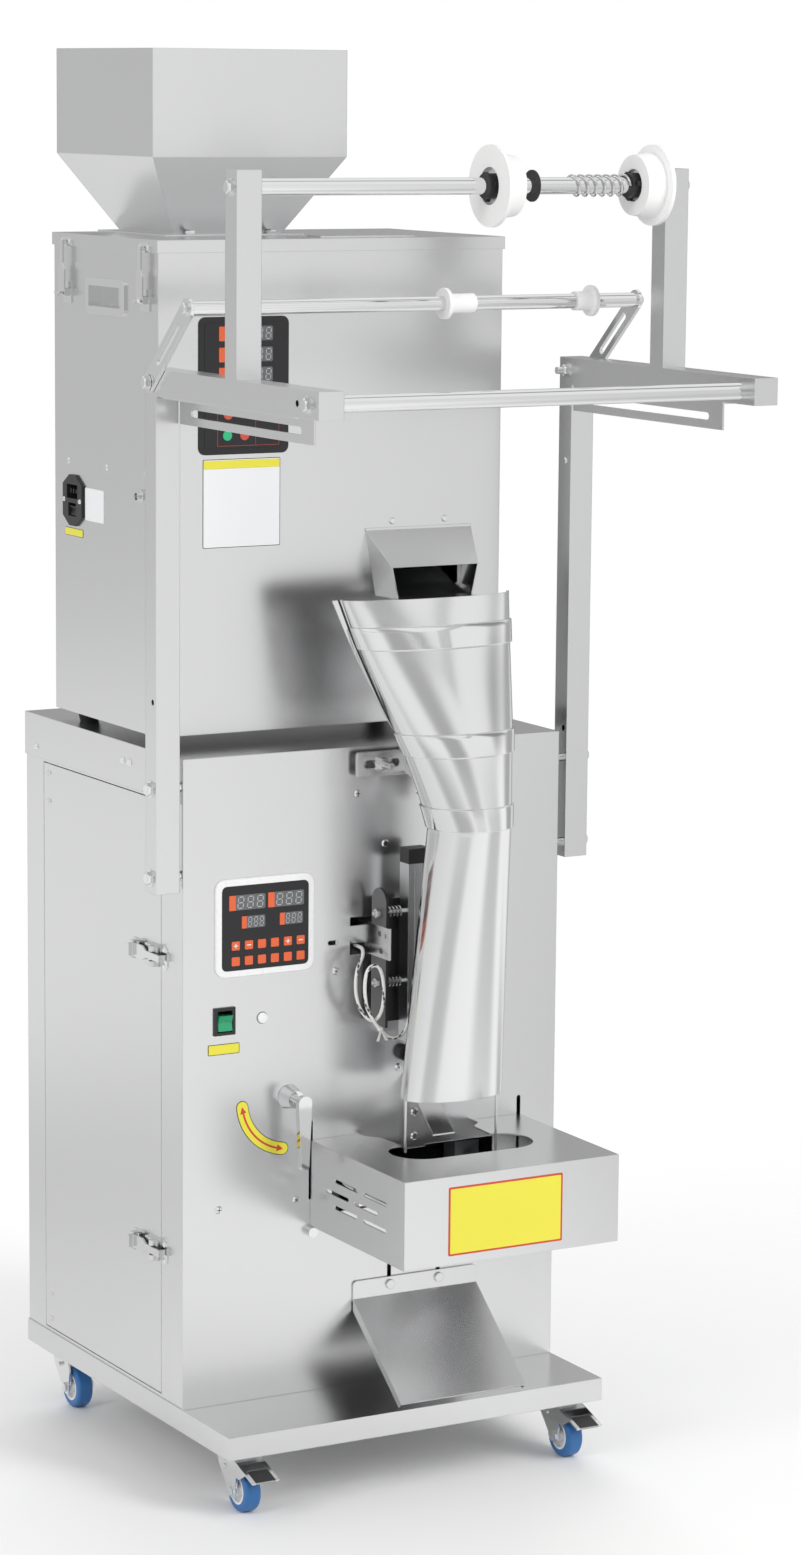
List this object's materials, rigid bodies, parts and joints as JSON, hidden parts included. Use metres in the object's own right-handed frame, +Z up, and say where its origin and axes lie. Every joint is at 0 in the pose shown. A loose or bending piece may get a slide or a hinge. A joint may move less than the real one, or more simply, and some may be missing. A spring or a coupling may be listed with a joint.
{
  "type": "weighing filling machine",
  "caption": "Upright weighing and bag filling machine with a square hopper, film former, film roll shaft, heat sealing jaws under a guard, discharge chute and casters.",
  "frame": {"origin": "on the floor under the middle of the machine's outline, at caster level", "axes": "+Z up, -Y towards the operator in front of the safety cover, +X to the operator's right"},
  "size_m": [0.5736, 0.785, 1.594],
  "materials": {
    "stainless": "brushed",
    "polished": "polished",
    "nylon": "satin",
    "black_plastic": "satin",
    "panel": "gloss",
    "green": "gloss",
    "blue_tyre": "satin",
    "iron": "painted",
    "lead_sleeve": "woven",
    "alloy": "satin"
  },
  "bodies": {
    "machine": {"base_tray": "stainless", "cabinet_shell": "stainless", "front_panel": "stainless", "cabinet_cover": "stainless", "stacking_feet": "black_plastic", "roll_frame": "stainless", "fittings": "polished", "film_bars": "polished", "shaft_spring": "polished", "shaft_collars": "black_plastic", "upper_housing": "stainless", "upper_lid": "stainless", "hopper": "stainless", "outlet_spout": "stainless", "product_tube": "stainless", "film_former": "stainless", "former_bracket": "stainless", "bag_spreaders": "stainless", "control_panel": "panel", "weighing_panel": "panel", "switch_bezel": "black_plastic", "power_inlet": "black_plastic", "weigh_bucket": "stainless", "feeder_pan": "stainless", "drive_unit": "iron", "sealer_guide": "polished", "carry_handles": "stainless"},
    "fork_front_left_body": {"fork_front_left": "polished"},
    "wheel_front_left_body": {"wheel_front_left": "blue_tyre"},
    "pedal_front_left_body": {"pedal_front_left": "polished"},
    "fork_front_right_body": {"fork_front_right": "polished"},
    "wheel_front_right_body": {"wheel_front_right": "blue_tyre"},
    "pedal_front_right_body": {"pedal_front_right": "polished"},
    "fork_rear_left_body": {"fork_rear_left": "polished"},
    "wheel_rear_left_body": {"wheel_rear_left": "blue_tyre"},
    "fork_rear_right_body": {"fork_rear_right": "polished"},
    "wheel_rear_right_body": {"wheel_rear_right": "blue_tyre"},
    "side_door_body": {"side_door": "stainless"},
    "door_latch_lower_body": {"door_latch_lower": "polished"},
    "door_latch_upper_body": {"door_latch_upper": "polished"},
    "lid_latch_1_body": {"lid_latch_1": "polished"},
    "lid_latch_2_body": {"lid_latch_2": "polished"},
    "lid_latch_3_body": {"lid_latch_3": "polished"},
    "lid_latch_4_body": {"lid_latch_4": "polished"},
    "crank_body": {"crank_lever": "polished"},
    "cover_body": {"safety_cover": "stainless"},
    "chute_body": {"discharge_chute": "stainless"},
    "jaw_front_body": {"jaw_front": "polished"},
    "jaw_rear_body": {"jaw_rear": "polished"},
    "sealer_body": {"sealer_arm": "polished", "sealer_bar": "alloy", "heater_lead": "lead_sleeve"},
    "power_rocker_body": {"power_rocker": "green"},
    "inlet_rocker_body": {"inlet_rocker": "black_plastic"},
    "bucket_flap_body": {"bucket_flap": "stainless"},
    "dancer_body": {"dancer_frame": "polished"},
    "dancer_collar_left_body": {"dancer_collar_left": "nylon"},
    "roll_cone_left_body": {"roll_cone_left": "nylon"},
    "dancer_collar_right_body": {"dancer_collar_right": "nylon"},
    "roll_cone_right_body": {"roll_cone_right": "nylon"}
  },
  "joints": [
    {"name": "swivel_front_left", "type": "hinge", "parent": "machine", "child": "fork_front_left_body", "pos_m": [-0.208, -0.0865, 0.064], "axis": [0, 0, 1], "continuous": true},
    {"name": "roll_front_left", "type": "hinge", "parent": "fork_front_left_body", "child": "wheel_front_left_body", "pos_m": [-0.208, -0.1085, 0.025], "axis": [1, 0, 0], "continuous": true},
    {"name": "brake_left", "type": "hinge", "parent": "fork_front_left_body", "child": "pedal_front_left_body", "pos_m": [-0.208, -0.0945, 0.0501], "axis": [1, 0, 0], "range_deg": [0, 6]},
    {"name": "swivel_front_right", "type": "hinge", "parent": "machine", "child": "fork_front_right_body", "pos_m": [0.208, -0.0865, 0.064], "axis": [0, 0, 1], "continuous": true},
    {"name": "roll_front_right", "type": "hinge", "parent": "fork_front_right_body", "child": "wheel_front_right_body", "pos_m": [0.208, -0.1085, 0.025], "axis": [1, 0, 0], "continuous": true},
    {"name": "brake_right", "type": "hinge", "parent": "fork_front_right_body", "child": "pedal_front_right_body", "pos_m": [0.208, -0.0945, 0.0501], "axis": [1, 0, 0], "range_deg": [0, 6]},
    {"name": "swivel_rear_left", "type": "hinge", "parent": "machine", "child": "fork_rear_left_body", "pos_m": [-0.208, 0.3445, 0.064], "axis": [0, 0, 1], "continuous": true},
    {"name": "roll_rear_left", "type": "hinge", "parent": "fork_rear_left_body", "child": "wheel_rear_left_body", "pos_m": [-0.208, 0.3225, 0.025], "axis": [1, 0, 0], "continuous": true},
    {"name": "swivel_rear_right", "type": "hinge", "parent": "machine", "child": "fork_rear_right_body", "pos_m": [0.208, 0.3445, 0.064], "axis": [0, 0, 1], "continuous": true},
    {"name": "roll_rear_right", "type": "hinge", "parent": "fork_rear_right_body", "child": "wheel_rear_right_body", "pos_m": [0.208, 0.3225, 0.025], "axis": [1, 0, 0], "continuous": true},
    {"name": "door_hinge", "type": "hinge", "parent": "machine", "child": "side_door_body", "pos_m": [-0.2345, 0.3345, 0.434], "axis": [0, 0, -1], "range_deg": [0, 100]},
    {"name": "door_latch_lower_swing", "type": "hinge", "parent": "side_door_body", "child": "door_latch_lower_body", "pos_m": [-0.2445, 0.0915, 0.264], "axis": [0, 0, -1], "range_deg": [0, 100]},
    {"name": "door_latch_upper_swing", "type": "hinge", "parent": "side_door_body", "child": "door_latch_upper_body", "pos_m": [-0.2445, 0.0915, 0.6], "axis": [0, 0, -1], "range_deg": [0, 100]},
    {"name": "lid_latch_swing_1", "type": "hinge", "parent": "machine", "child": "lid_latch_1_body", "pos_m": [-0.2405, 0.0815, 1.322], "axis": [0, -1, 0], "range_deg": [0, 100]},
    {"name": "lid_latch_swing_2", "type": "hinge", "parent": "machine", "child": "lid_latch_2_body", "pos_m": [-0.2405, 0.2815, 1.322], "axis": [0, -1, 0], "range_deg": [0, 100]},
    {"name": "lid_latch_swing_3", "type": "hinge", "parent": "machine", "child": "lid_latch_3_body", "pos_m": [0.2055, 0.0815, 1.322], "axis": [0, 1, 0], "range_deg": [0, 100]},
    {"name": "lid_latch_swing_4", "type": "hinge", "parent": "machine", "child": "lid_latch_4_body", "pos_m": [0.2055, 0.2815, 1.322], "axis": [0, 1, 0], "range_deg": [0, 100]},
    {"name": "crank_turn", "type": "hinge", "parent": "machine", "child": "crank_body", "pos_m": [-0.1075, -0.0205, 0.439], "axis": [0, 1, 0], "range_deg": [0, 90]},
    {"name": "cover_lift", "type": "slide", "parent": "machine", "child": "cover_body", "axis": [0, 0, 1], "range_m": [0, 0.02]},
    {"name": "chute_height", "type": "slide", "parent": "machine", "child": "chute_body", "axis": [0, 0, 1], "range_m": [0, 0.02]},
    {"name": "jaw_front_close", "type": "slide", "parent": "machine", "child": "jaw_front_body", "axis": [0, 1, 0], "range_m": [0, 0.021]},
    {"name": "jaw_rear_close", "type": "slide", "parent": "machine", "child": "jaw_rear_body", "axis": [0, 1, 0], "range_m": [-0.021, 0]},
    {"name": "sealer_close", "type": "slide", "parent": "machine", "child": "sealer_body", "axis": [1, 0, 0], "range_m": [0, 0.006]},
    {"name": "power_switch", "type": "hinge", "parent": "machine", "child": "power_rocker_body", "pos_m": [-0.189, -0.0135, 0.533], "axis": [1, 0, 0], "range_deg": [-16, 0]},
    {"name": "inlet_switch", "type": "hinge", "parent": "machine", "child": "inlet_rocker_body", "pos_m": [-0.2265, 0.2665, 1.0765], "axis": [0, 1, 0], "range_deg": [0, 16]},
    {"name": "flap_drop", "type": "hinge", "parent": "machine", "child": "bucket_flap_body", "pos_m": [0.06, 0.2555, 1.139], "axis": [1, 0, 0], "range_deg": [0, 45], "stiffness_Nm_per_rad": 0.4, "springref_deg": -34.38},
    {"name": "dancer_swing", "type": "hinge", "parent": "machine", "child": "dancer_body", "pos_m": [0, -0.0155, 1.24], "axis": [-1, 0, 0], "range_deg": [-28, 60]},
    {"name": "collar_left", "type": "slide", "parent": "dancer_body", "child": "dancer_collar_left_body", "axis": [1, 0, 0], "range_m": [-0.15, 0.04]},
    {"name": "cone_left", "type": "hinge", "parent": "machine", "child": "roll_cone_left_body", "pos_m": [0.046, -0.2005, 1.4515], "axis": [1, 0, 0], "continuous": true},
    {"name": "collar_right", "type": "slide", "parent": "dancer_body", "child": "dancer_collar_right_body", "axis": [1, 0, 0], "range_m": [-0.06, 0.02]},
    {"name": "cone_right", "type": "hinge", "parent": "machine", "child": "roll_cone_right_body", "pos_m": [0.226, -0.2005, 1.4515], "axis": [1, 0, 0], "continuous": true}
  ],
  "couplings": [
    {"joint": "jaw_rear_close", "follows": "jaw_front_close", "ratio": -1}
  ]
}
